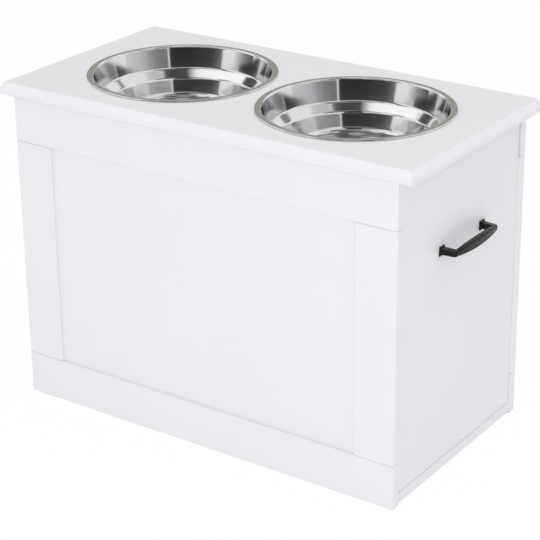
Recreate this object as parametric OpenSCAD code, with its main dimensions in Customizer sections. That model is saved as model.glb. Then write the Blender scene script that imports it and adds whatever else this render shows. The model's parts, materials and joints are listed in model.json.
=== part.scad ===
// Raised dog feeder with storage: a panelled box with a hinged, bevelled top board,
// two drop-in steel bowls and a pull on each end.
// The origin is the middle of the base, on the floor. X runs along the length with +X to the
// right, +Y runs to the back and +Z is up. All sizes are in millimetres.

/* [Box] */
// Length of the front and rear frames
box_length = 560; // [540:1:640]
// Depth over the front and rear frames
box_depth = 303; // [290:1:360]
// Height of the frames above the floor
box_height = 410.5; // [340:0.5:500]
// Thickness of the frame and side boards
board_thickness = 13; // [12:0.5:18]
// Thickness of the bottom board
bottom_thickness = 12; // [10:0.5:15]
// How far the bottom board lies above the lower edges of the frames
bottom_lift = 3; // [0:0.5:6]
// How far the side panels lie inside the ends of the frames
side_inset = 2; // [0.5:0.5:4]
// Small chamfer that breaks every board edge
edge_arris = 0.6; // [0.3:0.1:1.2]

/* [Frames] */
// Height of the top rails
top_rail_height = 57.5; // [45:0.5:80]
// Height of the bottom rails
bottom_rail_height = 57; // [45:0.5:80]
// Width of the stiles
stile_width = 55; // [50:1:75]
// Thickness of the thin front and rear panels
panel_thickness = 5; // [4:0.5:6]
// How far the thin panels lie behind the faces of their frames
panel_setback = 4; // [2:0.5:5]
// Depth of the grooves that hold the thin panels
groove_depth = 8; // [4:0.5:10]
// Room left at each edge of a thin panel in its groove
groove_clearance = 0.5; // [0.2:0.1:1]
// How much thinner the rear top rail is, which leaves a gap behind the side panels
rear_rail_relief = 1.5; // [0:0.5:2.5]
// Gap that shows as a fine line where a stile meets a rail
joint_gap = 0.3; // [0.1:0.1:1]
// How deep that gap runs into the joint
joint_gap_depth = 2; // [1:0.5:3]

/* [Top board] */
// Thickness of the top board
top_thickness = 15.5; // [14:0.5:20]
// Overhang at the left and right ends
end_overhang = 20; // [10:1:30]
// Overhang at the front and rear
face_overhang = 5; // [5:0.5:12]
// Height of the upright lip under the bevel
lip_height = 6.5; // [4:0.5:9]
// Width of the bevel, seen from above
bevel_run = 5.5; // [4:0.5:12]

/* [Bowls] */
// Distance between the middles of the two bowls
bowl_spacing = 259; // [254:1:270]
// Outer radius of the folded rim
rim_radius = 121.5; // [110:0.5:124]
// Width of the flat of the rim, from the curve into the wall to the outer edge
rim_width = 6.2; // [5:0.1:8]
// Width of the ring of the top board that carries the folded rim
rim_bearing = 4; // [3:0.5:4.5]
// Gap between the two layers of the folded rim
fold_gap = 0.4; // [0.2:0.1:1]
// Depth of the bowl from its rim to its floor
bowl_depth = 63; // [54:1:80]
// Thickness of the steel sheet
sheet_thickness = 0.8; // [0.6:0.1:1.2]
// Radius of the curve that leads from the rim into the wall
lead_in_radius = 2.5; // [1.5:0.5:6]
// How far the upper wall leans in between the level of the rim and the shoulder
upper_wall_lean = 7.4; // [4:0.2:9]
// Depth at which the shoulder starts
shoulder_depth = 28; // [22:1:30]
// Width of the shoulder, seen from above
shoulder_width = 10.5; // [6:0.5:14]
// Drop of the shoulder from its outer edge to its inner edge
shoulder_drop = 10.5; // [6:0.5:13]
// Length that the curve at each edge of the shoulder takes to both sides
shoulder_round = 2; // [1:0.5:3]
// How far the lower wall leans in between the shoulder and the floor
lower_wall_lean = 9; // [4:0.5:24]
// Length of wall and of floor that the curve between them takes
floor_round = 8; // [6:0.5:10]

/* [Pulls] */
// Distance between the two screws of a pull
pull_centres = 96; // [64:32:128]
// Height of the pulls above the floor
pull_level = 294.5; // [240:0.5:300]
// Distance from the side panel to the front of the grip
pull_projection = 25; // [22:0.5:36]
// Side of the square foot plate
foot_side = 11.5; // [10:0.5:16]
// Thickness of the foot plate
foot_thickness = 1.5; // [1:0.5:3]
// Width and height of a post next to its foot plate
post_side = 7.5; // [7:0.5:9]
// Depth of the grip in the middle, from its back to its front
grip_depth = 7; // [6:0.5:10]
// Height of the grip in the middle
grip_height = 12; // [11:0.5:16]
// Height of the grip at the elbows
elbow_height = 6.4; // [6:0.1:10]
// How far the front of the grip bows out between the elbows
grip_bow = 4; // [1:0.5:5]
// How far the back of the grip bows out between the posts
grip_back_bow = 1; // [0.2:0.1:2]
// Width of the chamfer along the front edges of the grip
grip_chamfer = 1.7; // [0.5:0.1:2.5]
// Outer radius of the elbows
elbow_radius = 7; // [5:0.5:8]
// Radius of the fillet inside the elbows
inner_elbow_radius = 2; // [1:0.5:4]

/* [Hinges] */
// Distance from each end of the box to the middle of its hinge
hinge_distance = 100; // [80:1:130]
// Length of a hinge
hinge_length = 50; // [40:1:70]
// Width of a leaf from the pin to its free edge
leaf_width = 19; // [17:0.5:24]
// Thickness of a leaf
leaf_thickness = 1.2; // [1:0.1:1.5]
// Outer radius of the knuckles
knuckle_radius = 2.2; // [2:0.05:2.3]
// Radius of the hinge pin
pin_radius = 1; // [0.8:0.05:1.2]
// Number of knuckles in a hinge
knuckle_count = 5; // [3:2:5]
// Gap between pieces that move past each other
running_gap = 0.3; // [0.2:0.05:0.4]
// Play of the pin in the knuckles, on the radius
pin_play = 0.05; // [0.02:0.01:0.1]

/* [Fittings] */
// Radius of the wooden dowels
dowel_radius = 3; // [2.5:0.25:3.5]
// Length of a dowel on each side of a stile joint
dowel_reach = 15; // [10:1:25]
// Distance between the two dowels of a stile joint
dowel_pitch = 26; // [20:1:28]
// Wood left beyond a blind hole in a board
blind_wood = 3; // [2:0.5:4]
// Play of dowels and bolts in their holes, on the radius
hole_play = 0.05; // [0.02:0.01:0.2]
// Radius of a cam disc
cam_radius = 7.5; // [6:0.5:9]
// Distance from the edge of a side panel to the middle of a cam disc
cam_distance = 24; // [20:1:34]
// Height of the cams inside the upper and lower stile joints
cam_joint_distance = 50; // [40:1:70]
// Radius of the bolt that a cam disc draws in
bolt_radius = 2.5; // [2:0.25:3]
// Distance of the bottom screws from the middle of the side panels
bottom_screw_position = 90; // [60:1:110]
// Length of the bottom screws
bottom_screw_length = 40; // [35:1:50]
// Distance between the dowels along the bottom board
bottom_dowel_pitch = 180; // [120:1:220]
// Radius of the small pads that the closed top board rests on
bumper_radius = 4; // [3:0.5:5]
// Distance of the pads from the ends of the front top rail
bumper_position = 30; // [15:1:60]

/* [Hidden] */

$fn = 48;
bowl_facets = 128;
overcut = 1;

board_white = [0.94, 0.94, 0.95];
pull_black = [0.07, 0.07, 0.08];
steel_grey = [0.75, 0.75, 0.74];
zinc_grey = [0.62, 0.63, 0.65];
beech_tan = [0.82, 0.66, 0.46];
pad_clear = [0.86, 0.87, 0.86];

// Levels and faces that several pieces share
half_length = box_length / 2;
half_depth = box_depth / 2;
lid_gap = leaf_thickness + running_gap;
lid_level = box_height + lid_gap;
lid_top = lid_level + top_thickness;
bevel_rise = top_thickness - lip_height;
inner_half_depth = half_depth - board_thickness;
side_face = half_length - side_inset;
side_middle = side_face - board_thickness / 2;
side_inner_face = side_face - board_thickness;
bottom_top = bottom_lift + bottom_thickness;
bottom_middle = bottom_lift + bottom_thickness / 2;
side_height = box_height - bottom_top;
opening_half_length = half_length - stile_width;
stile_base = bottom_rail_height;
stile_top = box_height - top_rail_height;
stile_height = stile_top - stile_base;
blind_depth = board_thickness - blind_wood;
cutout_radius = rim_radius - rim_bearing;
rim_fold_radius = sheet_thickness + fold_gap / 2;
rim_face = lid_top + 2 * rim_fold_radius;

// Hinge axis: behind the rear frame and under the overhang of the top board
hinge_position = half_length - hinge_distance;
pin_y = half_depth + running_gap + knuckle_radius;
pin_z = lid_level - running_gap - knuckle_radius;
leaf_stop = knuckle_radius + 2 * running_gap;
knuckle_pitch = hinge_length / knuckle_count;
leaf_screw_pitch = hinge_length / 3;
leaf_screw_edge = 7;
leaf_screw_offset = leaf_width - leaf_screw_edge;
leaf_screw_radius = 1.5;
leaf_screw_head = 2.9;
lid_screw_length = 12;
rail_screw_length = 9;

// Pull screws, cams and bottom screws
pull_screw_radius = 2;
pull_screw_reach = 9;
pull_screw_head_radius = 4;
pull_screw_head_height = 2.2;
cam_backing = 2.5;
cam_depth = board_thickness - cam_backing;
cam_levels = [stile_base + cam_joint_distance, stile_top - cam_joint_distance];
side_dowel_level = (cam_levels[0] + cam_levels[1]) / 2;
bolt_neck_radius = bolt_radius - 0.9;
bottom_screw_radius = 2.5;
bottom_screw_head_radius = 4.5;
drive_slot_width = 0.8;
drive_slot_depth = 0.9;
drive_slot_share = 1.4;

// Flat shapes

module chamfered_rectangle(size, chamfer) {
    polygon([[chamfer, 0], [size.x - chamfer, 0], [size.x, chamfer], [size.x, size.y - chamfer],
             [size.x - chamfer, size.y], [chamfer, size.y], [0, size.y - chamfer], [0, chamfer]]);
}

// Rectangle from x = 0 to size.x, centred on y, with its two far corners rounded
module round_ended_rectangle(size, radius) {
    translate([0, -size.y / 2])
        square([size.x - radius, size.y]);
    translate([0, radius - size.y / 2])
        square([size.x, size.y - 2 * radius]);
    for (side = [-1, 1])
        translate([size.x - radius, side * (size.y / 2 - radius)])
            circle(radius);
}

// Lens of two equal arcs, long in x: half height `middle` at x = 0 and `tip` at x = reach
module lens(reach, middle, tip) {
    rise = middle - tip;
    arc_radius = (reach * reach + rise * rise) / (2 * rise);
    intersection() {
        translate([0, middle - arc_radius])
            circle(arc_radius, $fn = 256);
        translate([0, arc_radius - middle])
            circle(arc_radius, $fn = 256);
    }
}

// Round bars along the row axes, from one point over a length

module bar_x(start, radius, length) {
    translate(start)
        rotate([0, 90, 0])
            cylinder(r = radius, h = length);
}

module bar_y(start, radius, length) {
    translate(start)
        rotate([-90, 0, 0])
            cylinder(r = radius, h = length);
}

module bar_z(start, radius, length) {
    translate(start)
        cylinder(r = radius, h = length);
}

// Board with a small chamfer along every edge
module board(corner, size) {
    translate(corner)
        intersection() {
            linear_extrude(size.z)
                chamfered_rectangle([size.x, size.y], edge_arris);
            translate([0, size.y, 0])
                rotate([90, 0, 0])
                    linear_extrude(size.y)
                        chamfered_rectangle([size.x, size.z], edge_arris);
            rotate([90, 0, 90])
                linear_extrude(size.x)
                    chamfered_rectangle([size.y, size.z], edge_arris);
        }
}

// Countersunk wood screw that points along +Z, with its head's face at z = 0
module countersunk_screw(radius, head_radius, length) {
    head_height = head_radius - radius;
    difference() {
        union() {
            cylinder(r1 = head_radius, r2 = radius, h = head_height);
            cylinder(r = radius, h = length - radius);
            translate([0, 0, length - radius])
                cylinder(r1 = radius, r2 = radius / 4, h = radius);
        }
        drive_cross(head_radius);
    }
}

// Hole for a countersunk screw, with play all round
module countersunk_hole(radius, head_radius, length) {
    cylinder(r1 = head_radius + hole_play, r2 = radius + hole_play, h = head_radius - radius);
    cylinder(r = radius + hole_play, h = length);
}

// Cross recess cut into a screw head from z = 0
module drive_cross(head_radius) {
    for (turn = [0, 90])
        rotate(turn)
            translate([-head_radius * drive_slot_share / 2, -drive_slot_width / 2, -overcut])
                cube([head_radius * drive_slot_share, drive_slot_width, drive_slot_depth + overcut]);
}

// Frames: each is drawn at the front, and mirrored for the rear

// Where the dowels of a frame stand: [x, level of the stile joint]
frame_dowel_places = [for (end = [-1, 1], step = [-1, 1], level = [stile_base, stile_top])
    [end * (half_length - stile_width / 2) + step * dowel_pitch / 2, level]];

bottom_dowel_places = [for (step = [-1, 0, 1]) step * bottom_dowel_pitch];

module frame_dowels() {
    for (place = frame_dowel_places)
        bar_z([place.x, board_thickness / 2 - half_depth, place.y - dowel_reach],
              dowel_radius, 2 * dowel_reach);
}

module frame_dowel_holes() {
    for (place = frame_dowel_places)
        bar_z([place.x, board_thickness / 2 - half_depth, place.y - dowel_reach],
              dowel_radius + hole_play, 2 * dowel_reach);
}

// Groove for a thin panel, as long as the panel and its clearance
module panel_groove() {
    translate([-opening_half_length - groove_depth, panel_setback - half_depth, stile_base - groove_depth])
        cube([2 * (opening_half_length + groove_depth), panel_thickness, stile_height + 2 * groove_depth]);
}

module thin_panel() {
    slack = groove_depth - groove_clearance;
    translate([-opening_half_length - slack, panel_setback - half_depth, stile_base - slack])
        cube([2 * (opening_half_length + slack), panel_thickness, stile_height + 2 * slack]);
}

module top_rail(thickness) {
    difference() {
        board([-half_length, -half_depth, stile_top], [box_length, thickness, top_rail_height]);
        panel_groove();
        frame_dowel_holes();
    }
}

module bottom_rail() {
    difference() {
        board([-half_length, -half_depth, 0], [box_length, board_thickness, bottom_rail_height]);
        panel_groove();
        frame_dowel_holes();
        bottom_board_dowel_holes();
    }
}

// Stile at one end: end is -1 for the left and 1 for the right. Its core meets the rails, and
// the outer layer round the core stops short of them and leaves a fine open line
module stile(end) {
    start = end * (half_length - stile_width / 2) - stile_width / 2;
    difference() {
        union() {
            board([start, -half_depth, stile_base + joint_gap],
                  [stile_width, board_thickness, stile_height - 2 * joint_gap]);
            translate([start + joint_gap_depth, joint_gap_depth - half_depth, stile_base])
                cube([stile_width - 2 * joint_gap_depth, board_thickness - 2 * joint_gap_depth,
                      stile_height]);
        }
        panel_groove();
        frame_dowel_holes();
        side_fitting_holes(end);
    }
}

// Holes for the cam bolts and the dowel that tie one side panel to the front frame
module side_fitting_holes(end) {
    for (level = cam_levels)
        bar_y([end * side_middle, blind_wood - half_depth, level], bolt_radius + hole_play,
              blind_depth + cam_distance);
    bar_y([end * side_middle, blind_wood - half_depth, side_dowel_level], dowel_radius + hole_play,
          2 * dowel_reach);
}

module bottom_board_dowel_holes() {
    for (x = bottom_dowel_places)
        bar_y([x, blind_wood - half_depth, bottom_middle], dowel_radius + hole_play, 2 * dowel_reach);
}

module front_top_rail() {
    color(board_white)
        top_rail(board_thickness);
}

module front_bottom_rail() {
    color(board_white)
        bottom_rail();
}

module front_left_stile() {
    color(board_white)
        stile(-1);
}

module front_right_stile() {
    color(board_white)
        stile(1);
}

module front_panel() {
    color(board_white)
        thin_panel();
}

module front_frame_dowels() {
    color(beech_tan)
        frame_dowels();
}

// The rear top rail is thinner on its inner side and takes the hinge screws
module rear_top_rail() {
    color(board_white)
        difference() {
            mirror([0, 1, 0])
                top_rail(board_thickness - rear_rail_relief);
            at_hinges()
                box_leaf_screw_holes();
        }
}

module rear_bottom_rail() {
    color(board_white)
        mirror([0, 1, 0])
            bottom_rail();
}

module rear_left_stile() {
    color(board_white)
        mirror([0, 1, 0])
            stile(-1);
}

module rear_right_stile() {
    color(board_white)
        mirror([0, 1, 0])
            stile(1);
}

module rear_panel() {
    color(board_white)
        mirror([0, 1, 0])
            thin_panel();
}

module rear_frame_dowels() {
    color(beech_tan)
        mirror([0, 1, 0])
            frame_dowels();
}

// Side panels, between the two frames and on top of the bottom board

module side_panel(end) {
    difference() {
        board([end * side_middle - board_thickness / 2, -inner_half_depth, bottom_top],
              [board_thickness, 2 * inner_half_depth, side_height]);
        for (flip = [0, 1])
            mirror([0, flip, 0]) {
                side_fitting_holes(end);
                cam_pockets(end);
            }
        for (side = [-1, 1])
            bar_z([end * side_middle, side * bottom_screw_position, bottom_lift],
                  bottom_screw_radius + hole_play, bottom_screw_length);
        pull_screw_holes(end);
    }
}

module left_side_panel() {
    color(board_white)
        side_panel(-1);
}

module right_side_panel() {
    color(board_white)
        side_panel(1);
}

// Pockets for the cam discs on the inner face of a side panel, for its front edge
module cam_pockets(end) {
    for (level = cam_levels)
        translate([end * side_inner_face, cam_distance - inner_half_depth, level])
            rotate([0, end * 90, 0])
                translate([0, 0, -overcut])
                    cylinder(r = cam_radius + hole_play, h = cam_depth + overcut);
}

// One cam disc: a round nut with a side mouth that grips the head of its bolt
module cam_disc() {
    difference() {
        cylinder(r = cam_radius, h = cam_depth);
        drive_cross(cam_radius);
        translate([0, 0, board_thickness / 2])
            rotate([90, 0, 0])
                cylinder(r = bolt_radius + hole_play, h = cam_radius + overcut);
    }
}

module cam_discs() {
    color(zinc_grey)
        for (end = [-1, 1], flip = [0, 1], level = cam_levels)
            mirror([0, flip, 0])
                translate([end * side_inner_face, cam_distance - inner_half_depth, level])
                    rotate([0, end * 90, 0])
                        cam_disc();
}

// Each bolt is screwed into a stile, and its grooved head ends in the middle of a cam disc
module cam_bolts() {
    neck_length = bolt_radius;
    color(zinc_grey)
        for (end = [-1, 1], flip = [0, 1], level = cam_levels)
            mirror([0, flip, 0])
                difference() {
                    bar_y([end * side_middle, blind_wood - half_depth, level], bolt_radius,
                          blind_depth + cam_distance);
                    translate([end * side_middle, cam_distance - inner_half_depth - 2 * neck_length, level])
                        rotate([-90, 0, 0])
                            difference() {
                                cylinder(r = bolt_radius + overcut, h = neck_length);
                                cylinder(r = bolt_neck_radius, h = neck_length);
                            }
                }
}

module side_panel_dowels() {
    color(beech_tan)
        for (end = [-1, 1], flip = [0, 1])
            mirror([0, flip, 0])
                bar_y([end * side_middle, blind_wood - half_depth, side_dowel_level], dowel_radius,
                      2 * dowel_reach);
}

// Bottom board: its end grain shows under the side panels

module bottom_board() {
    color(board_white)
        difference() {
            board([-half_length, -inner_half_depth, bottom_lift],
                  [box_length, 2 * inner_half_depth, bottom_thickness]);
            for (flip = [0, 1])
                mirror([0, flip, 0])
                    bottom_board_dowel_holes();
            for (end = [-1, 1], side = [-1, 1])
                translate([end * side_middle, side * bottom_screw_position, bottom_lift])
                    countersunk_hole(bottom_screw_radius, bottom_screw_head_radius, bottom_thickness);
        }
}

module bottom_board_dowels() {
    color(beech_tan)
        for (flip = [0, 1], x = bottom_dowel_places)
            mirror([0, flip, 0])
                bar_y([x, blind_wood - half_depth, bottom_middle], dowel_radius, 2 * dowel_reach);
}

module bottom_board_screws() {
    color(zinc_grey)
        for (end = [-1, 1], side = [-1, 1])
            translate([end * side_middle, side * bottom_screw_position, bottom_lift])
                countersunk_screw(bottom_screw_radius, bottom_screw_head_radius, bottom_screw_length);
}

// Pulls: drawn with the foot plates on x = 0, the grip towards +X and its length along Y

pull_half_length = (pull_centres + post_side) / 2;
elbow_start = pull_projection - grip_bow - elbow_radius;

// Radius of an arc that rises by `rise` over half its chord
function bow_radius(half_chord, rise) = (half_chord * half_chord + rise * rise) / (2 * rise);

// Disc whose far side reaches x = front and falls back by `rise` at the ends of the pull
module bow_disc(front, rise) {
    radius = bow_radius(pull_half_length, rise);
    translate([front - radius, 0])
        circle(radius, $fn = 256);
}

// Foot plate and post, flared in plan and in elevation
module pull_post() {
    intersection() {
        linear_extrude(2 * foot_side, center = true)
            flared_post_outline();
        rotate([90, 0, 0])
            linear_extrude(2 * foot_side, center = true)
                flared_post_outline();
    }
}

// The post thins from the flare to the elbow
module flared_post_outline() {
    flare = (foot_side - post_side) / 2;
    difference() {
        translate([0, -foot_side / 2])
            square([elbow_start, foot_side]);
        for (side = [0, 1])
            mirror([0, side])
                union() {
                    translate([foot_thickness + flare, foot_side / 2])
                        circle(flare);
                    polygon([[foot_thickness + flare, post_side / 2], [elbow_start, elbow_height / 2],
                             [elbow_start, foot_side], [foot_thickness + flare, foot_side]]);
                }
    }
}

// Plan of the grip and its two arms, with rounded elbows and a fillet inside each
module grip_plan() {
    difference() {
        intersection() {
            round_ended_rectangle([pull_projection, 2 * pull_half_length], elbow_radius + grip_bow);
            bow_disc(pull_projection, grip_bow);
        }
        intersection() {
            round_ended_rectangle([pull_projection - grip_depth, pull_centres - post_side],
                                  inner_elbow_radius);
            bow_disc(pull_projection - grip_depth, grip_back_bow);
        }
        translate([-overcut, -pull_half_length])
            square([foot_thickness + overcut, 2 * pull_half_length]);
    }
}

// The grip is its plan, cut to its height by a lens and along its front edges by two slanting discs
module pull_grip() {
    slope = 45;
    corner_reach = (pull_projection + grip_height / 2) * cos(slope);
    corner_fall = (grip_bow + (grip_height - elbow_height) / 2) * cos(slope);
    intersection() {
        linear_extrude(2 * grip_height, center = true)
            grip_plan();
        rotate([90, 0, 90])
            linear_extrude(2 * pull_projection, center = true)
                lens(pull_half_length, grip_height / 2, elbow_height / 2);
        for_front_edges(slope)
            linear_extrude(4 * pull_projection, center = true)
                bow_disc(corner_reach - grip_chamfer * cos(slope), corner_fall);
    }
}

// Turns a shape about the length of the pull, once for each front edge, and keeps what both share
module for_front_edges(slope) {
    intersection_for (turn = [-slope, slope])
        rotate([0, turn, 0])
            children();
}

module pull() {
    difference() {
        union() {
            pull_grip();
            for (side = [-1, 1])
                translate([0, side * pull_centres / 2, 0])
                    pull_post();
        }
        for (side = [-1, 1])
            bar_x([-overcut, side * pull_centres / 2, 0], pull_screw_radius + hole_play,
                  pull_screw_reach + overcut);
    }
}

module place_pull(end) {
    translate([end * side_face, 0, pull_level])
        rotate(end > 0 ? 0 : 180)
            children();
}

module left_pull() {
    color(pull_black)
        place_pull(-1)
            pull();
}

module right_pull() {
    color(pull_black)
        place_pull(1)
            pull();
}

module pull_screw_holes(end) {
    place_pull(end)
        for (side = [-1, 1])
            bar_x([-board_thickness - overcut, side * pull_centres / 2, 0], pull_screw_radius + 2 * hole_play,
                  board_thickness + 2 * overcut);
}

// Pan-head screws from inside the box
module pull_screws() {
    for (side = [-1, 1])
        translate([-board_thickness - pull_screw_head_height, side * pull_centres / 2, 0])
            rotate([0, 90, 0])
                difference() {
                    union() {
                        cylinder(r1 = pull_screw_head_radius - 1, r2 = pull_screw_head_radius,
                                 h = pull_screw_head_height);
                        cylinder(r = pull_screw_radius,
                                 h = pull_screw_head_height + board_thickness + pull_screw_reach);
                    }
                    drive_cross(pull_screw_head_radius);
                }
}

module left_pull_screws() {
    color(zinc_grey)
        place_pull(-1)
            pull_screws();
}

module right_pull_screws() {
    color(zinc_grey)
        place_pull(1)
            pull_screws();
}

// Pads on the front top rail that carry the closed top board
module lid_bumpers() {
    color(pad_clear)
        for (end = [-1, 1])
            bar_z([end * (half_length - bumper_position), board_thickness / 2 - half_depth, box_height],
                  bumper_radius, lid_gap);
}

// Hinges

// Where a knuckle starts, by its number
function knuckle_start(i) = i * knuckle_pitch - hinge_length / 2 + running_gap / 2;

// Knuckles of one hinge: the box leaf holds the even ones and the lid leaf the odd ones
module knuckles(first) {
    for (i = [first : 2 : knuckle_count - 1])
        bar_x([knuckle_start(i), pin_y, pin_z], knuckle_radius, knuckle_pitch - running_gap);
}

module pin_hole() {
    bar_x([-hinge_length, pin_y, pin_z], pin_radius + pin_play, 2 * hinge_length);
}

// Leaf screwed to the rear face of the rear top rail
module box_leaf() {
    difference() {
        union() {
            translate([-hinge_length / 2, half_depth, pin_z - leaf_width])
                cube([hinge_length, leaf_thickness, leaf_width - leaf_stop]);
            for (i = [0 : 2 : knuckle_count - 1])
                translate([knuckle_start(i), half_depth, pin_z - leaf_width])
                    cube([knuckle_pitch - running_gap, leaf_thickness, leaf_width]);
            knuckles(0);
        }
        pin_hole();
        box_leaf_screw_holes();
    }
}

// Leaf screwed to the underside of the top board
module lid_leaf() {
    difference() {
        union() {
            translate([-hinge_length / 2, pin_y - leaf_width, lid_level - leaf_thickness])
                cube([hinge_length, leaf_width - leaf_stop, leaf_thickness]);
            for (i = [1 : 2 : knuckle_count - 1])
                translate([knuckle_start(i), pin_y - leaf_width, lid_level - leaf_thickness])
                    cube([knuckle_pitch - running_gap, leaf_width, leaf_thickness]);
            knuckles(1);
        }
        pin_hole();
        lid_leaf_screw_holes();
    }
}

// Places of the three screws of one leaf, for holes and screws alike

module at_box_leaf_screws() {
    for (step = [-1, 0, 1])
        translate([step * leaf_screw_pitch, half_depth + leaf_thickness, pin_z - leaf_screw_offset])
            rotate([90, 0, 0])
                children();
}

module at_lid_leaf_screws() {
    for (step = [-1, 0, 1])
        translate([step * leaf_screw_pitch, pin_y - leaf_screw_offset, lid_level - leaf_thickness])
            children();
}

module box_leaf_screw_holes() {
    at_box_leaf_screws()
        countersunk_hole(leaf_screw_radius, leaf_screw_head, rail_screw_length);
}

module lid_leaf_screw_holes() {
    at_lid_leaf_screws()
        countersunk_hole(leaf_screw_radius, leaf_screw_head, lid_screw_length);
}

// Both hinges, from one drawn in the middle
module at_hinges() {
    for (end = [-1, 1])
        translate([end * hinge_position, 0, 0])
            children();
}

module left_hinge_box_leaf() {
    color(steel_grey)
        translate([-hinge_position, 0, 0])
            box_leaf();
}

module right_hinge_box_leaf() {
    color(steel_grey)
        translate([hinge_position, 0, 0])
            box_leaf();
}

module left_hinge_lid_leaf() {
    color(steel_grey)
        translate([-hinge_position, 0, 0])
            lid_leaf();
}

module right_hinge_lid_leaf() {
    color(steel_grey)
        translate([hinge_position, 0, 0])
            lid_leaf();
}

// Pin with a low head at each end
module hinge_pin() {
    head_height = pin_radius;
    bar_x([-hinge_length / 2 - head_height, pin_y, pin_z], pin_radius, hinge_length + 2 * head_height);
    for (end = [-1, 1])
        bar_x([end * (hinge_length / 2 + head_height / 2) - head_height / 2, pin_y, pin_z],
              (pin_radius + knuckle_radius) / 2, head_height);
}

module left_hinge_pin() {
    color(steel_grey)
        translate([-hinge_position, 0, 0])
            hinge_pin();
}

module right_hinge_pin() {
    color(steel_grey)
        translate([hinge_position, 0, 0])
            hinge_pin();
}

module box_hinge_screws() {
    color(zinc_grey)
        at_hinges()
            at_box_leaf_screws()
                countersunk_screw(leaf_screw_radius, leaf_screw_head, rail_screw_length);
}

module lid_hinge_screws() {
    color(zinc_grey)
        at_hinges()
            at_lid_leaf_screws()
                countersunk_screw(leaf_screw_radius, leaf_screw_head, lid_screw_length);
}

// Top board: an upright lip with a bevel above it on all four sides

// Section across the board: width on x, height on y
module lipped_section(width) {
    polygon([[edge_arris - width / 2, 0], [width / 2 - edge_arris, 0], [width / 2, edge_arris],
             [width / 2, lip_height], [width / 2 - bevel_run, top_thickness],
             [bevel_run - width / 2, top_thickness], [-width / 2, lip_height],
             [-width / 2, edge_arris]]);
}

module top_board() {
    length = box_length + 2 * end_overhang;
    depth = box_depth + 2 * face_overhang;
    color(board_white)
        difference() {
            translate([0, 0, lid_level])
                intersection() {
                    translate([0, depth / 2, 0])
                        rotate([90, 0, 0])
                            linear_extrude(depth)
                                lipped_section(length);
                    translate([-length / 2, 0, 0])
                        rotate([90, 0, 90])
                            linear_extrude(length)
                                lipped_section(depth);
                }
            for (side = [-1, 1])
                bar_z([side * bowl_spacing / 2, 0, lid_level - overcut], cutout_radius,
                      top_thickness + 2 * overcut, $fn = bowl_facets);
            at_hinges()
                lid_leaf_screw_holes();
        }
}

// Bowls: the section of the pressed sheet, drawn as [radius, height] with the rim's face at 0

function arc_points(centre, radius, from, to, steps) =
    [for (i = [0 : steps]) let (a = from + (to - from) * i / steps)
        centre + radius * [cos(a), sin(a)]];

// Unit vector at a right angle to the line from a to b, on its right-hand side
function side_of(a, b) = let (d = (b - a) / norm(b - a)) [d.y, -d.x];

// Path moved sideways by a distance, with mitred corners
function moved_path(path, distance) =
    [for (i = [0 : len(path) - 1])
        let (before = side_of(path[max(i - 1, 0)], path[max(i, 1)]),
             after = side_of(path[min(i, len(path) - 2)], path[min(i + 1, len(path) - 1)]))
        path[i] + distance * (before + after) / (1 + before * after)];

wall_top_radius = rim_radius - rim_width;
upper_wall_angle = atan(upper_wall_lean / shoulder_depth);
wall_corner_radius = wall_top_radius - lead_in_radius * tan((90 - upper_wall_angle) / 2);
shoulder_outer_radius = wall_corner_radius - upper_wall_lean;
shoulder_inner_radius = shoulder_outer_radius - shoulder_width;
floor_corner_radius = shoulder_inner_radius - lower_wall_lean;

// Softened corner of a path: a curve that starts and ends at a distance from the corner
function soft_corner(before, corner, after, cut, steps) =
    let (a = corner + cut * (before - corner) / norm(before - corner),
         b = corner + cut * (after - corner) / norm(after - corner))
    [for (i = [0 : steps]) let (t = i / steps)
        (1 - t) * (1 - t) * a + 2 * t * (1 - t) * corner + t * t * b];

// Inner face of the bowl, from the middle of the floor over the wall to the edge of the rim,
// where the sheet folds back under itself as far as the edge of the cut-out
bowl_path = let (floor_start = [0, -bowl_depth],
                 floor_corner = [floor_corner_radius, -bowl_depth],
                 shoulder_inner = [shoulder_inner_radius, -shoulder_depth - shoulder_drop],
                 shoulder_outer = [shoulder_outer_radius, -shoulder_depth],
                 wall_corner = [wall_corner_radius, 0])
    concat([floor_start],
           soft_corner(floor_start, floor_corner, shoulder_inner, floor_round, 8),
           soft_corner(floor_corner, shoulder_inner, shoulder_outer, shoulder_round, 4),
           soft_corner(shoulder_inner, shoulder_outer, wall_corner, shoulder_round, 4),
           arc_points([wall_top_radius, -lead_in_radius], lead_in_radius, 180 - upper_wall_angle, 90, 5),
           arc_points([rim_radius - rim_fold_radius, -rim_fold_radius], rim_fold_radius, 90, -90, 8),
           [[cutout_radius, -2 * rim_fold_radius]]);

module bowl_section() {
    outer_path = moved_path(bowl_path, sheet_thickness);
    polygon(concat(bowl_path, [for (i = [len(outer_path) - 1 : -1 : 0]) outer_path[i]]));
}

module bowl() {
    rotate_extrude($fn = bowl_facets)
        bowl_section();
}

module left_bowl() {
    color(steel_grey)
        translate([-bowl_spacing / 2, 0, rim_face])
            bowl();
}

module right_bowl() {
    color(steel_grey)
        translate([bowl_spacing / 2, 0, rim_face])
            bowl();
}

front_top_rail();
front_bottom_rail();
front_left_stile();
front_right_stile();
front_panel();
front_frame_dowels();
rear_top_rail();
rear_bottom_rail();
rear_left_stile();
rear_right_stile();
rear_panel();
rear_frame_dowels();
left_side_panel();
right_side_panel();
side_panel_dowels();
bottom_board();
bottom_board_dowels();
bottom_board_screws();
cam_discs();
cam_bolts();
left_pull();
right_pull();
left_pull_screws();
right_pull_screws();
lid_bumpers();
left_hinge_box_leaf();
right_hinge_box_leaf();
left_hinge_pin();
right_hinge_pin();
box_hinge_screws();
top_board();
left_hinge_lid_leaf();
right_hinge_lid_leaf();
lid_hinge_screws();
left_bowl();
right_bowl();
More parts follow.
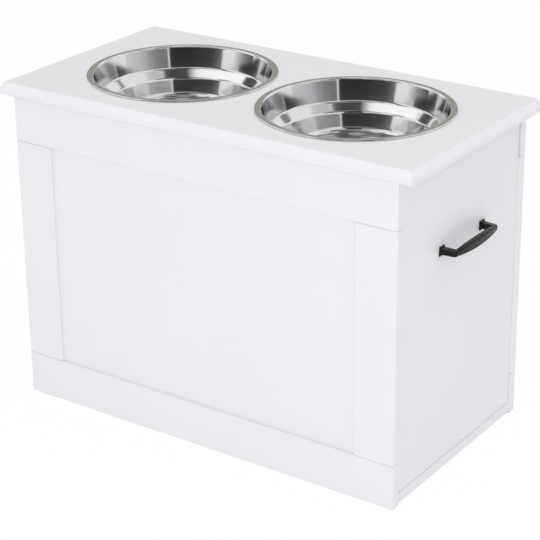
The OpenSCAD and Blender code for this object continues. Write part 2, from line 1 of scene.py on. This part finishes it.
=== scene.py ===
"""Looks of a raised dog feeder: painted boards, two steel bowls, black pulls and plated fittings.

Everything is in metres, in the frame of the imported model: the origin is the middle of the base, +X runs to
the right, +Y to the back and +Z up.
"""

from __future__ import annotations

import json
import logging
import math
from collections.abc import Sequence
from dataclasses import dataclass, field
from enum import Enum

import bmesh
import bpy
from mathutils import Matrix, Vector

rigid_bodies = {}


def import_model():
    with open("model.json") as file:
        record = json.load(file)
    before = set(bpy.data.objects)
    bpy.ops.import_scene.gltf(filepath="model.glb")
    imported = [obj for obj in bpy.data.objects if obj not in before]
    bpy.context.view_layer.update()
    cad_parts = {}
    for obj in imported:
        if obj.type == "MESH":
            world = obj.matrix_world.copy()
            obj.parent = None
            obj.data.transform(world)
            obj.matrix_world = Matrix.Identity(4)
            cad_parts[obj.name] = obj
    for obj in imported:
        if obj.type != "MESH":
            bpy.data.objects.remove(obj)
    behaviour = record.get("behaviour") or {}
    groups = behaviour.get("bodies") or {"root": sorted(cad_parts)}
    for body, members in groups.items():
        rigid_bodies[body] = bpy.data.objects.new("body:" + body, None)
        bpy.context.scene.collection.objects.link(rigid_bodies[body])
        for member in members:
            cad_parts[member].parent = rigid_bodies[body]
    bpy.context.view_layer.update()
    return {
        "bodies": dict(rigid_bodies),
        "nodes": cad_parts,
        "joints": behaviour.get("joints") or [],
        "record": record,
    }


LOG = logging.getLogger("feeder")
MM = 0.001
WHITE = "#FFFFFF"

# Noise lies nearly always between these two values, so they are stretched over a finish's whole drift.
NOISE_LOW = 0.3
NOISE_HIGH = 0.7

Frame = dict[str, dict[str, bpy.types.Object]]


class Side(Enum):
    """The feeder's two ends, each with the sign of X there."""

    LEFT = -1
    RIGHT = 1


def linear_colour(code: str) -> tuple[float, float, float, float]:
    """Turns an sRGB hex colour into the linear colour that a shader takes.

    Args:
        code: Six hex digits after a hash, such as "#E6E7EA".

    Returns:
        Linear red, green and blue, and an alpha of 1.
    """
    channels = [int(code[i : i + 2], 16) / 255 for i in (1, 3, 5)]
    linear = [c / 12.92 if c <= 0.04045 else ((c + 0.055) / 1.055) ** 2.4 for c in channels]
    return (linear[0], linear[1], linear[2], 1.0)


def add_node(
    tree: bpy.types.NodeTree,
    kind: str,
    settings: dict[str, object] | None = None,
    inputs: dict[str | int, object] | None = None,
) -> bpy.types.Node:
    """Adds a node to a tree, with its settings and links.

    Args:
        tree: The node tree that gets the node.
        kind: The node's type name in Blender.
        settings: Values for the node's own properties.
        inputs: For each input socket, by name or number, a value, or a socket to link from.

    Returns:
        The new node.
    """
    node = tree.nodes.new(kind)
    for name, value in (settings or {}).items():
        setattr(node, name, value)
    for name, value in (inputs or {}).items():
        if isinstance(value, bpy.types.NodeSocket):
            tree.links.new(value, node.inputs[name])
        else:
            node.inputs[name].default_value = value
    return node


def new_material(name: str) -> tuple[bpy.types.Material, bpy.types.NodeTree, bpy.types.Node]:
    """Makes an empty node material.

    Args:
        name: The material's name.

    Returns:
        The material, its node tree and its output node.
    """
    material = bpy.data.materials.new(name)
    material.use_nodes = True
    tree = material.node_tree
    tree.nodes.clear()
    return material, tree, add_node(tree, "ShaderNodeOutputMaterial")


@dataclass(frozen=True)
class SatinPaintedBoard:
    """Fibreboard sprayed with a satin white lacquer.

    The spray leaves a very fine ripple, which breaks up reflections without any visible grain.
    """

    name: str = "satin_painted_board"
    colour: str = "#ECEDEF"
    colour_thick: str = "#E9EAED"
    roughness: float = 0.42
    ripple_mm: float = 3.0
    roughness_drift: tuple[float, float] = (-0.03, 0.04)
    ior: float = 1.5
    ripple_height_mm: float = 0.008
    ripple_strength: float = 0.6
    cloud_mm: float = 140.0

    def material(self) -> bpy.types.Material:
        """Builds the lacquer's material."""
        material, tree, output = new_material(self.name)
        place = add_node(tree, "ShaderNodeTexCoord")
        # Film thickness drifts over a hand's width, which shifts the white by one or two steps.
        cloud = add_node(
            tree,
            "ShaderNodeTexNoise",
            inputs={"Vector": place.outputs["Object"], "Scale": 1 / (self.cloud_mm * MM), "Detail": 2.0},
        )
        tone = add_node(
            tree,
            "ShaderNodeMix",
            {"data_type": "RGBA"},
            {0: cloud.outputs["Fac"], 6: linear_colour(self.colour), 7: linear_colour(self.colour_thick)},
        )
        # Orange peel: about 3 mm from crest to crest, and less than a hundredth of a millimetre deep.
        ripple = add_node(
            tree,
            "ShaderNodeTexNoise",
            inputs={"Vector": place.outputs["Object"], "Scale": 1 / (self.ripple_mm * MM), "Detail": 1.0},
        )
        bump = add_node(
            tree,
            "ShaderNodeBump",
            inputs={
                "Height": ripple.outputs["Fac"],
                "Distance": self.ripple_height_mm * MM,
                "Strength": self.ripple_strength,
            },
        )
        gloss = add_node(
            tree,
            "ShaderNodeMapRange",
            inputs={
                0: cloud.outputs["Fac"],
                1: NOISE_LOW,
                2: NOISE_HIGH,
                3: self.roughness + self.roughness_drift[0],
                4: self.roughness + self.roughness_drift[1],
            },
        )
        shader = add_node(
            tree,
            "ShaderNodeBsdfPrincipled",
            inputs={
                "Base Color": tone.outputs[2],
                "Roughness": gloss.outputs[0],
                "Normal": bump.outputs["Normal"],
                "IOR": self.ior,
            },
        )
        tree.links.new(shader.outputs[0], output.inputs["Surface"])
        return material


@dataclass(frozen=True)
class TurnedStainless:
    """Stainless sheet that was pressed, then brushed on a turning machine.

    The brushing leaves fine rings round the bowl's axis, which blur reflections up and down the wall and
    leave upright edges sharp.
    """

    name: str
    axis_x: float
    colour: str = "#DEDDDE"
    roughness: float = 0.1
    roughness_drift: tuple[float, float] = (-0.03, 0.05)
    stretch: float = 0.7
    quarter_turn: float = 0.25
    ring_mm: float = 0.7
    ring_height_mm: float = 0.002
    ring_strength: float = 0.35
    drift_scale: float = 14.0

    def material(self) -> bpy.types.Material:
        """Builds the steel's material, with rings about the bowl's own axis."""
        material, tree, output = new_material(self.name)
        place = add_node(tree, "ShaderNodeTexCoord")
        centred = add_node(
            tree,
            "ShaderNodeVectorMath",
            {"operation": "SUBTRACT"},
            {0: place.outputs["Object"], 1: (self.axis_x, 0.0, 0.0)},
        )
        parts = add_node(tree, "ShaderNodeSeparateXYZ", inputs={0: centred.outputs[0]})
        flat = add_node(
            tree, "ShaderNodeCombineXYZ", inputs={0: parts.outputs[0], 1: parts.outputs[1], 2: 0.0}
        )
        radius = add_node(tree, "ShaderNodeVectorMath", {"operation": "LENGTH"}, {0: flat.outputs[0]})
        # A ring crosses the wall by height and the floor by radius. A drift about every 70 mm breaks it up.
        across = add_node(
            tree, "ShaderNodeCombineXYZ", inputs={0: radius.outputs["Value"], 1: parts.outputs[2], 2: 0.0}
        )
        fine = add_node(
            tree,
            "ShaderNodeVectorMath",
            {"operation": "SCALE"},
            {0: across.outputs[0], "Scale": 1 / (self.ring_mm * MM)},
        )
        drift = add_node(
            tree, "ShaderNodeVectorMath", {"operation": "SCALE"}, {0: flat.outputs[0], "Scale": self.drift_scale}
        )
        rings_at = add_node(
            tree, "ShaderNodeVectorMath", {"operation": "ADD"}, {0: fine.outputs[0], 1: drift.outputs[0]}
        )
        # Real brushing is about 0.1 mm apart; it is drawn 0.7 mm apart so that it shows in the render.
        rings = add_node(
            tree,
            "ShaderNodeTexNoise",
            inputs={"Vector": rings_at.outputs[0], "Scale": 1.0, "Detail": 3.0, "Roughness": 0.6},
        )
        bump = add_node(
            tree,
            "ShaderNodeBump",
            inputs={
                "Height": rings.outputs["Fac"],
                "Distance": self.ring_height_mm * MM,
                "Strength": self.ring_strength,
            },
        )
        gloss = add_node(
            tree,
            "ShaderNodeMapRange",
            inputs={
                0: rings.outputs["Fac"],
                1: NOISE_LOW,
                2: NOISE_HIGH,
                3: self.roughness + self.roughness_drift[0],
                4: self.roughness + self.roughness_drift[1],
            },
        )
        # The brushing runs round the bowl, so a reflection smears up and down the wall.
        around = add_node(tree, "ShaderNodeTangent", {"direction_type": "RADIAL", "axis": "Z"})
        shader = add_node(
            tree,
            "ShaderNodeBsdfPrincipled",
            inputs={
                "Base Color": linear_colour(self.colour),
                "Metallic": 1.0,
                "Roughness": gloss.outputs[0],
                "Anisotropic": self.stretch,
                "Anisotropic Rotation": self.quarter_turn,
                "Tangent": around.outputs["Tangent"],
                "Normal": bump.outputs["Normal"],
            },
        )
        tree.links.new(shader.outputs[0], output.inputs["Surface"])
        return material


@dataclass(frozen=True)
class BlackPowderCoat:
    """Zinc die casting under a satin black powder coat, with a fine pebbled skin and soft edges."""

    name: str = "black_powder_coat"
    colour: str = "#08080B"
    roughness: float = 0.27
    pebble_mm: float = 0.5
    pebble_height_mm: float = 0.01
    pebble_strength: float = 0.5
    roughness_drift: tuple[float, float] = (-0.05, 0.05)
    ior: float = 1.33
    edge_mm: float = 0.6

    def material(self) -> bpy.types.Material:
        """Builds the coat's material."""
        material, tree, output = new_material(self.name)
        place = add_node(tree, "ShaderNodeTexCoord")
        # Powder melts into pebbles of about half a millimetre.
        pebble = add_node(
            tree,
            "ShaderNodeTexNoise",
            inputs={"Vector": place.outputs["Object"], "Scale": 1 / (self.pebble_mm * MM), "Detail": 2.0},
        )
        # The coat flows over the casting's edges and rounds them. This is shading only.
        edge = add_node(tree, "ShaderNodeBevel", inputs={"Radius": self.edge_mm * MM})
        bump = add_node(
            tree,
            "ShaderNodeBump",
            inputs={
                "Normal": edge.outputs["Normal"],
                "Height": pebble.outputs["Fac"],
                "Distance": self.pebble_height_mm * MM,
                "Strength": self.pebble_strength,
            },
        )
        gloss = add_node(
            tree,
            "ShaderNodeMapRange",
            inputs={
                0: pebble.outputs["Fac"],
                1: NOISE_LOW,
                2: NOISE_HIGH,
                3: self.roughness + self.roughness_drift[0],
                4: self.roughness + self.roughness_drift[1],
            },
        )
        shader = add_node(
            tree,
            "ShaderNodeBsdfPrincipled",
            inputs={
                "Base Color": linear_colour(self.colour),
                "Roughness": gloss.outputs[0],
                "Normal": bump.outputs["Normal"],
                "IOR": self.ior,
            },
        )
        tree.links.new(shader.outputs[0], output.inputs["Surface"])
        return material


@dataclass(frozen=True)
class PlatedSteel:
    """Pressed or headed steel under a thin zinc or nickel plate, slightly cloudy."""

    name: str
    colour: str
    roughness: float = 0.3
    roughness_drift: tuple[float, float] = (-0.06, 0.08)
    cloud_mm: float = 4.0

    def material(self) -> bpy.types.Material:
        """Builds the plated steel's material."""
        material, tree, output = new_material(self.name)
        place = add_node(tree, "ShaderNodeTexCoord")
        # Plating dulls in patches a few millimetres wide.
        cloud = add_node(
            tree,
            "ShaderNodeTexNoise",
            inputs={"Vector": place.outputs["Object"], "Scale": 1 / (self.cloud_mm * MM), "Detail": 3.0},
        )
        gloss = add_node(
            tree,
            "ShaderNodeMapRange",
            inputs={
                0: cloud.outputs["Fac"],
                1: NOISE_LOW,
                2: NOISE_HIGH,
                3: self.roughness + self.roughness_drift[0],
                4: self.roughness + self.roughness_drift[1],
            },
        )
        shader = add_node(
            tree,
            "ShaderNodeBsdfPrincipled",
            inputs={
                "Base Color": linear_colour(self.colour),
                "Metallic": 1.0,
                "Roughness": gloss.outputs[0],
            },
        )
        tree.links.new(shader.outputs[0], output.inputs["Surface"])
        return material


@dataclass(frozen=True)
class BareBeech:
    """Turned beech dowel: pale, with short dark flecks along its length."""

    name: str = "bare_beech"
    colour: str = "#D9BB8C"
    fleck: str = "#B08958"
    roughness: float = 0.6
    grain_mm: float = 1.2

    def material(self) -> bpy.types.Material:
        """Builds the beech's material."""
        material, tree, output = new_material(self.name)
        place = add_node(tree, "ShaderNodeTexCoord")
        # Growth rings in a 6 mm dowel lie a little over a millimetre apart.
        grain = add_node(
            tree,
            "ShaderNodeTexNoise",
            inputs={"Vector": place.outputs["Object"], "Scale": 1 / (self.grain_mm * MM), "Detail": 3.0},
        )
        tone = add_node(
            tree,
            "ShaderNodeMix",
            {"data_type": "RGBA"},
            {0: grain.outputs["Fac"], 6: linear_colour(self.colour), 7: linear_colour(self.fleck)},
        )
        shader = add_node(
            tree,
            "ShaderNodeBsdfPrincipled",
            inputs={"Base Color": tone.outputs[2], "Roughness": self.roughness},
        )
        tree.links.new(shader.outputs[0], output.inputs["Surface"])
        return material


@dataclass(frozen=True)
class ClearPolyurethane:
    """Soft clear polyurethane pad, cast in a dome and slightly milky."""

    name: str = "clear_polyurethane"
    colour: str = "#DDE0DD"
    roughness: float = 0.25
    roughness_drift: tuple[float, float] = (-0.05, 0.05)
    clearness: float = 0.5
    ior: float = 1.49
    haze_mm: float = 2.0

    def material(self) -> bpy.types.Material:
        """Builds the pad's material."""
        material, tree, output = new_material(self.name)
        place = add_node(tree, "ShaderNodeTexCoord")
        # Haze drifts over about 2 mm inside the pad.
        haze = add_node(
            tree,
            "ShaderNodeTexNoise",
            inputs={"Vector": place.outputs["Object"], "Scale": 1 / (self.haze_mm * MM), "Detail": 1.0},
        )
        gloss = add_node(
            tree,
            "ShaderNodeMapRange",
            inputs={
                0: haze.outputs["Fac"],
                1: NOISE_LOW,
                2: NOISE_HIGH,
                3: self.roughness + self.roughness_drift[0],
                4: self.roughness + self.roughness_drift[1],
            },
        )
        shader = add_node(
            tree,
            "ShaderNodeBsdfPrincipled",
            inputs={
                "Base Color": linear_colour(self.colour),
                "Roughness": gloss.outputs[0],
                "Transmission Weight": self.clearness,
                "IOR": self.ior,
            },
        )
        tree.links.new(shader.outputs[0], output.inputs["Surface"])
        return material


def dress(frame: Frame, nodes: list[str], material: bpy.types.Material) -> None:
    """Gives carried-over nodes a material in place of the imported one.

    Args:
        nodes: Names of the nodes.
        material: The material that they all get.
    """
    for name in nodes:
        mesh = frame["nodes"][name].data
        mesh.materials.clear()
        mesh.materials.append(material)
        LOG.info("%s wears %s", name, material.name)


@dataclass
class Cabinet:
    """The box: two frames with thin panels, two side panels, a bottom board and what holds them together."""

    boards: list[str] = field(
        default_factory=lambda: [
            "front_top_rail",
            "front_bottom_rail",
            "front_left_stile",
            "front_right_stile",
            "front_panel",
            "rear_top_rail",
            "rear_bottom_rail",
            "rear_left_stile",
            "rear_right_stile",
            "rear_panel",
            "left_side_panel",
            "right_side_panel",
            "bottom_board",
        ]
    )
    dowels: list[str] = field(
        default_factory=lambda: [
            "front_frame_dowels",
            "rear_frame_dowels",
            "side_panel_dowels",
            "bottom_board_dowels",
        ]
    )
    fittings: list[str] = field(
        default_factory=lambda: ["bottom_board_screws", "cam_discs", "cam_bolts", "box_hinge_screws"]
    )

    def dress(
        self,
        frame: Frame,
        board: bpy.types.Material,
        beech: bpy.types.Material,
        zinc: bpy.types.Material,
    ) -> None:
        """Gives the box's nodes their finishes.

        Args:
            board: The lacquer on the boards.
            beech: The dowels' wood.
            zinc: The fittings' plate.
        """
        dress(frame, self.boards, board)
        dress(frame, self.dowels, beech)
        dress(frame, self.fittings, zinc)


@dataclass
class LiftTop:
    """The top board with its hinges and the pads that it rests on."""

    board: list[str] = field(default_factory=lambda: ["top_board"])
    hinges: list[str] = field(
        default_factory=lambda: [
            "left_hinge_box_leaf",
            "right_hinge_box_leaf",
            "left_hinge_pin",
            "right_hinge_pin",
            "left_hinge_lid_leaf",
            "right_hinge_lid_leaf",
        ]
    )
    screws: list[str] = field(default_factory=lambda: ["lid_hinge_screws"])
    pads: list[str] = field(default_factory=lambda: ["lid_bumpers"])

    def dress(
        self,
        frame: Frame,
        board: bpy.types.Material,
        nickel: bpy.types.Material,
        zinc: bpy.types.Material,
        pad: bpy.types.Material,
    ) -> None:
        """Gives the top's nodes their finishes.

        Args:
            board: The lacquer on the board.
            nickel: The hinges' plate.
            zinc: The screws' plate.
            pad: The pads' soft plastic.
        """
        dress(frame, self.board, board)
        dress(frame, self.hinges, nickel)
        dress(frame, self.screws, zinc)
        dress(frame, self.pads, pad)


@dataclass
class Bowl:
    """One steel bowl: its node carries the pressed shape."""

    side: Side
    spacing: float = 0.259

    def dress(self, frame: Frame) -> None:
        """Gives the bowl its brushed steel.
        """
        node = f"{self.side.name.lower()}_bowl"
        steel = TurnedStainless(name=f"turned_stainless_{node}", axis_x=self.side.value * self.spacing / 2)
        dress(frame, [node], steel.material())


@dataclass
class Pulls:
    """The two pulls and their screws."""

    pulls: list[str] = field(default_factory=lambda: ["left_pull", "right_pull"])
    screws: list[str] = field(default_factory=lambda: ["left_pull_screws", "right_pull_screws"])

    def dress(self, frame: Frame, coat: bpy.types.Material, zinc: bpy.types.Material) -> None:
        """Gives the pulls and their screws their finishes.

        Args:
            coat: The pulls' powder coat.
            zinc: The screws' plate.
        """
        dress(frame, self.pulls, coat)
        dress(frame, self.screws, zinc)


@dataclass(frozen=True)
class StudioCamera:
    """The camera, at the photograph's viewing angle.

    The photograph is a crop with its optical centre outside the picture. The other views keep this camera's
    shift, so the shift is small, and the corners lie a few pixels off the photograph's.
    """

    place: tuple[float, float, float] = (1.2189, -1.7354, 1.1074)
    yaw: float = 34.3417
    pitch: float = 22.22
    roll: float = -0.4058
    lens: float = 120.350
    shift_x: float = -0.03704
    shift_y: float = -0.07407
    sensor: float = 36.0
    reach: float = 100.0

    def build(self) -> bpy.types.Object:
        """Makes the camera and sets it as the scene's camera.

        Returns:
            The camera.
        """
        yaw, pitch, roll = (math.radians(a) for a in (self.yaw, self.pitch, self.roll))
        level = math.cos(pitch)
        forward = Vector((-math.sin(yaw) * level, math.cos(yaw) * level, -math.sin(pitch)))
        right = Vector((math.cos(yaw), math.sin(yaw), 0.0))
        upward = right.cross(forward)
        across = math.cos(roll) * right + math.sin(roll) * upward
        along = math.cos(roll) * upward - math.sin(roll) * right
        data = bpy.data.cameras.new("studio_camera")
        data.sensor_fit = "HORIZONTAL"
        data.sensor_width = self.sensor
        data.lens = self.lens
        data.shift_x = self.shift_x
        data.shift_y = self.shift_y
        data.clip_end = self.reach
        camera = bpy.data.objects.new("studio_camera", data)
        turned = Matrix((across, along, -forward)).transposed().to_4x4()
        camera.matrix_world = Matrix.Translation(self.place) @ turned
        bpy.context.scene.collection.objects.link(camera)
        bpy.context.scene.camera = camera
        return camera


@dataclass(frozen=True)
class Softbox:
    """A large rectangular lamp that faces a point on the object."""

    name: str
    place: tuple[float, float, float]
    width: float
    height: float
    watts: float
    colour: str = WHITE
    target: tuple[float, float, float] = (0.0, 0.0, 0.25)

    def build(self) -> bpy.types.Object:
        """Makes the lamp, which mirrors don't show: they show the cards and the room.

        Returns:
            The lamp.
        """
        data = bpy.data.lights.new(self.name, "AREA")
        data.shape = "RECTANGLE"
        data.size = self.width
        data.size_y = self.height
        data.energy = self.watts
        data.color = linear_colour(self.colour)[:3]
        lamp = bpy.data.objects.new(self.name, data)
        lamp.location = self.place
        aim = Vector(self.target) - Vector(self.place)
        lamp.rotation_euler = aim.to_track_quat("-Z", "Y").to_euler()
        lamp.visible_glossy = False
        bpy.context.scene.collection.objects.link(lamp)
        return lamp


@dataclass(frozen=True)
class MirrorCard:
    """A studio screen that only mirrors see, bent round the object at a distance.

    Azimuths are turned from +X towards +Y and elevations from level, both in degrees as seen from the bowls.
    The shades run from one upright edge to the other. The first upright edge may lean by a slant, in degrees
    of azimuth for each degree of elevation, and the upper edge may fade into the white room. A power above 1
    makes the screen brighter than the room.
    """

    name: str
    shades: tuple[tuple[float, str], ...]
    elevations: tuple[float, float]
    fade: float = 0.0
    slant: float = 0.0
    power: float = 1.0
    distance: float = 8.0
    centre_height: float = 0.42
    column_turn: float = 3.0

    def shade_at(self, turn: float) -> tuple[float, ...]:
        """Finds the linear shade at an azimuth.

        Args:
            turn: The azimuth in degrees, before the slant.

        Returns:
            Linear red, green, blue and alpha.
        """
        for (start, near), (end, far) in zip(self.shades, self.shades[1:]):
            if turn <= end:
                share = (turn - start) / (end - start)
                return tuple(n + share * (f - n) for n, f in zip(linear_colour(near), linear_colour(far)))
        return linear_colour(self.shades[-1][1])

    def build(self) -> bpy.types.Object:
        """Makes the screen's bent sheet and its own-light material.

        Returns:
            The screen.
        """
        first, last = self.shades[0][0], self.shades[-1][0]
        columns = max(2, math.ceil((last - first) / self.column_turn))
        low, high = self.elevations
        rows = [(low, 0.0), ((low + high) / 2, 0.0), (high, 0.0)]
        if self.fade:
            rows.append((high + self.fade, 1.0))
        sheet = bmesh.new()
        tint = sheet.verts.layers.float_color.new("tint")
        white = linear_colour(WHITE)
        grid = []
        for i in range(columns + 1):
            turn = first + (last - first) * i / columns
            shade = self.shade_at(turn)
            column = []
            for level, bleach in rows:
                swing = math.radians(turn + self.slant * (level - low) * (1 - i / columns))
                lift = math.radians(level)
                vert = sheet.verts.new(
                    (
                        self.distance * math.cos(lift) * math.cos(swing),
                        self.distance * math.cos(lift) * math.sin(swing),
                        self.distance * math.sin(lift) + self.centre_height,
                    )
                )
                vert[tint] = tuple(c + bleach * (w - c) for c, w in zip(shade, white))
                column.append(vert)
            grid.append(column)
        for left, right in zip(grid, grid[1:]):
            for row in range(len(rows) - 1):
                sheet.faces.new((left[row], right[row], right[row + 1], left[row + 1]))
        data = bpy.data.meshes.new(self.name)
        sheet.to_mesh(data)
        sheet.free()
        card = bpy.data.objects.new(self.name, data)
        material, tree, output = new_material(self.name)
        shade_node = add_node(tree, "ShaderNodeVertexColor", {"layer_name": "tint"})
        glow = add_node(
            tree, "ShaderNodeEmission", inputs={"Color": shade_node.outputs["Color"], "Strength": self.power}
        )
        tree.links.new(glow.outputs[0], output.inputs["Surface"])
        data.materials.append(material)
        bpy.context.scene.collection.objects.link(card)
        card.visible_camera = False
        card.visible_diffuse = False
        card.visible_shadow = False
        card.visible_transmission = False
        card.visible_volume_scatter = False
        return card


# Distances of cards that lie behind or before the others, and how much brighter a window is than the room.
BEHIND_THE_REST = 8.6
BEFORE_THE_REST = 7.6
WINDOW_POWER = 1.27


def mirror_cards() -> list[MirrorCard]:
    """Lists the screens that the bowls' walls, shoulders and rims mirror.

    Their places and greys were chosen from where the bowls' reflections in the photograph point.

    Returns:
        The screens, from the camera's side round to the back and overhead.
    """
    return [
        MirrorCard(
            "camera_screen",
            ((-95.0, "#77777A"), (-84.0, "#464649"), (-62.0, "#313134"), (-35.5, "#313134")),
            (-8.0, 28.0),
            fade=6.0,
            slant=-0.75,
        ),
        MirrorCard("camera_screen_top", ((-68.0, "#3A3A3D"), (-38.0, "#2C2C2F")), (36.0, 60.0)),
        MirrorCard("camera_screen_side", ((-104.0, "#B4B4B6"), (-68.0, "#8C8C8F")), (41.0, 57.0)),
        MirrorCard("camera_screen_gap", ((-80.0, "#5E5E61"), (-52.0, "#6A6A6D")), (29.0, 33.5)),
        MirrorCard("right_screen_roof", ((-37.5, "#4A4A4D"), (0.0, "#505053")), (43.5, 60.0)),
        MirrorCard(
            "right_screen",
            ((-33.5, "#757577"), (-15.0, "#939396"), (0.0, "#C4C4C7"), (12.0, "#D5D5D7"), (28.0, "#E4E4E6")),
            (-8.0, 12.0),
        ),
        MirrorCard(
            "right_screen_top",
            (
                (-33.5, "#8A8A8D"),
                (-24.0, "#88888B"),
                (-6.0, "#A2A2A5"),
                (4.0, "#B8B8BB"),
                (7.0, "#D8D8DA"),
                (28.0, "#E4E4E6"),
            ),
            (12.0, 22.0),
            fade=4.0,
        ),
        MirrorCard(
            "left_screen",
            ((-158.0, "#46464A"), (-150.0, "#747477"), (-140.0, "#A0A0A3"), (-132.0, "#D0D0D2"), (-126.0, "#F4F4F4")),
            (-8.0, 11.0),
        ),
        MirrorCard(
            "overhead_screen",
            ((-92.0, "#FFFFFF"), (-78.0, "#B0B0B2"), (-68.0, "#4E4E51"), (-20.0, "#48484B"), (1.0, "#5C5C5F")),
            (64.5, 79.0),
        ),
        MirrorCard("overhead_ledge", ((-90.0, "#A6A6A4"), (0.0, "#9C9C9A")), (60.5, 64.0)),
        MirrorCard(
            "ceiling",
            ((-180.0, "#58585A"), (180.0, "#58585A")),
            (73.5, 84.0),
            distance=BEHIND_THE_REST,
            column_turn=12.0,
        ),
        MirrorCard("ceiling_left", ((-180.0, "#6E6E6E"), (-140.0, "#78787A")), (65.5, 73.0), distance=BEHIND_THE_REST),
        MirrorCard("rear_right_panel", ((58.0, "#949496"), (112.0, "#8C8C8E")), (50.0, 73.0), distance=BEHIND_THE_REST),
        MirrorCard("rear_left_panel", ((146.0, "#6C6C6E"), (180.0, "#6C6C6E")), (50.0, 73.0), distance=BEHIND_THE_REST),
        MirrorCard("overhead_grey", ((3.0, "#CFCFD2"), (33.0, "#DADADC")), (48.0, 72.0)),
        MirrorCard("window_left", ((-172.0, "#FFFFFF"), (-152.0, "#FFFFFF")), (37.0, 56.0), power=WINDOW_POWER),
        MirrorCard("window_middle", ((-152.0, "#FFFFFF"), (-128.0, "#FFFFFF")), (46.0, 65.0), power=WINDOW_POWER),
        MirrorCard("window_right", ((-128.0, "#FFFFFF"), (-93.0, "#F4F4F4")), (59.0, 75.0), power=WINDOW_POWER),
        MirrorCard("window_frame", ((-142.0, "#46464A"), (-120.0, "#4C4C50")), (37.0, 45.0), distance=BEFORE_THE_REST),
        MirrorCard("rear_left_post", ((168.0, "#58585B"), (187.0, "#505053")), (23.0, 38.0)),
        MirrorCard("right_post", ((63.0, "#8A8A8D"), (74.0, "#8A8A8D")), (26.0, 38.0)),
        MirrorCard("back_screen", ((92.0, "#A6A69E"), (164.0, "#A6A69E")), (1.0, 24.0), fade=4.0),
    ]


@dataclass
class Studio:
    """A white room: a pale floor, an even glow all round, three lamps and the cards that the steel mirrors."""

    glow: float = 0.74
    floor_size: float = 6.0
    floor_white: str = "#FAFAFA"
    floor_share: float = 0.96
    floor_cells: int = 8
    floor_drop_mm: float = 0.1
    lamps: list[Softbox] = field(
        default_factory=lambda: [
            Softbox("front_lamp", (1.7, -3.4, 1.7), width=2.6, height=2.0, watts=39.0),
            Softbox("side_lamp", (3.6, -0.2, 1.5), width=2.0, height=1.6, watts=1.5, colour="#D0DEFF"),
            Softbox("top_lamp", (0.5, 0.1, 3.2), width=2.4, height=2.0, watts=14.0),
        ]
    )
    cards: list[MirrorCard] = field(default_factory=mirror_cards)

    def build(self) -> None:
        """Makes the room, the floor, the lamps and the cards."""
        self.build_room()
        self.build_floor()
        for lamp in self.lamps:
            lamp.build()
        for card in self.cards:
            card.build()

    def seen_rays(self, tree: bpy.types.NodeTree) -> bpy.types.NodeSocket:
        """Finds the rays that show the backdrop: from the camera, off gloss or through glass.

        Args:
            tree: The tree that gets the nodes.

        Returns:
            A socket that is 1 for those rays and 0 for all others.
        """
        path = add_node(tree, "ShaderNodeLightPath")
        either = add_node(
            tree,
            "ShaderNodeMath",
            {"operation": "MAXIMUM"},
            {0: path.outputs["Is Camera Ray"], 1: path.outputs["Is Glossy Ray"]},
        )
        any_of = add_node(
            tree,
            "ShaderNodeMath",
            {"operation": "MAXIMUM"},
            {0: either.outputs[0], 1: path.outputs["Is Transmission Ray"]},
        )
        return any_of.outputs[0]

    def build_room(self) -> None:
        """Makes the world: plain white to look at, and a softer glow as light."""
        world = bpy.data.worlds.new("white_room")
        bpy.context.scene.world = world
        world.use_nodes = True
        tree = world.node_tree
        tree.nodes.clear()
        white = linear_colour(WHITE)
        light = add_node(tree, "ShaderNodeBackground", inputs={"Color": white, "Strength": self.glow})
        seen = add_node(tree, "ShaderNodeBackground", inputs={"Color": white, "Strength": 1.0})
        mix = add_node(
            tree,
            "ShaderNodeMixShader",
            inputs={0: self.seen_rays(tree), 1: light.outputs[0], 2: seen.outputs[0]},
        )
        add_node(tree, "ShaderNodeOutputWorld", inputs={"Surface": mix.outputs[0]})

    def build_floor(self) -> bpy.types.Object:
        """Makes the floor: it looks nearly white and keeps a soft shadow.

        Returns:
            The floor.
        """
        mesh = bmesh.new()
        cells = self.floor_cells
        bmesh.ops.create_grid(mesh, x_segments=cells, y_segments=cells, size=self.floor_size / 2)
        data = bpy.data.meshes.new("pale_floor")
        mesh.to_mesh(data)
        mesh.free()
        floor = bpy.data.objects.new("pale_floor", data)
        bpy.context.scene.collection.objects.link(floor)
        material, tree, output = new_material("pale_floor")
        matt = add_node(tree, "ShaderNodeBsdfDiffuse", inputs={"Color": linear_colour(self.floor_white)})
        glow = add_node(tree, "ShaderNodeEmission", inputs={"Color": linear_colour(WHITE), "Strength": 1.0})
        share = add_node(
            tree, "ShaderNodeMath", {"operation": "MULTIPLY"}, {0: self.seen_rays(tree), 1: self.floor_share}
        )
        mix = add_node(
            tree, "ShaderNodeMixShader", inputs={0: share.outputs[0], 1: matt.outputs[0], 2: glow.outputs[0]}
        )
        tree.links.new(mix.outputs[0], output.inputs["Surface"])
        data.materials.append(material)
        # A hair below the frames' lower edges, so that two faces never share a plane.
        floor.location.z = -self.floor_drop_mm * MM
        return floor


def main() -> None:
    """Builds the studio and dresses every piece."""
    logging.basicConfig(level=logging.INFO, format="%(message)s")
    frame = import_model()
    StudioCamera().build()
    Studio().build()
    scene = bpy.context.scene
    scene.view_settings.view_transform = "Standard"

    board = SatinPaintedBoard().material()
    zinc = PlatedSteel(name="zinc_plate", colour="#B9BBBD").material()
    nickel = PlatedSteel(name="nickel_plate", colour="#C9C6C0", roughness=0.26).material()
    Cabinet().dress(frame, board, BareBeech().material(), zinc)
    LiftTop().dress(frame, board, nickel, zinc, ClearPolyurethane().material())
    Pulls().dress(frame, BlackPowderCoat().material(), zinc)
    for side in Side:
        Bowl(side).dress(frame)


if __name__ == "__main__":
    main()
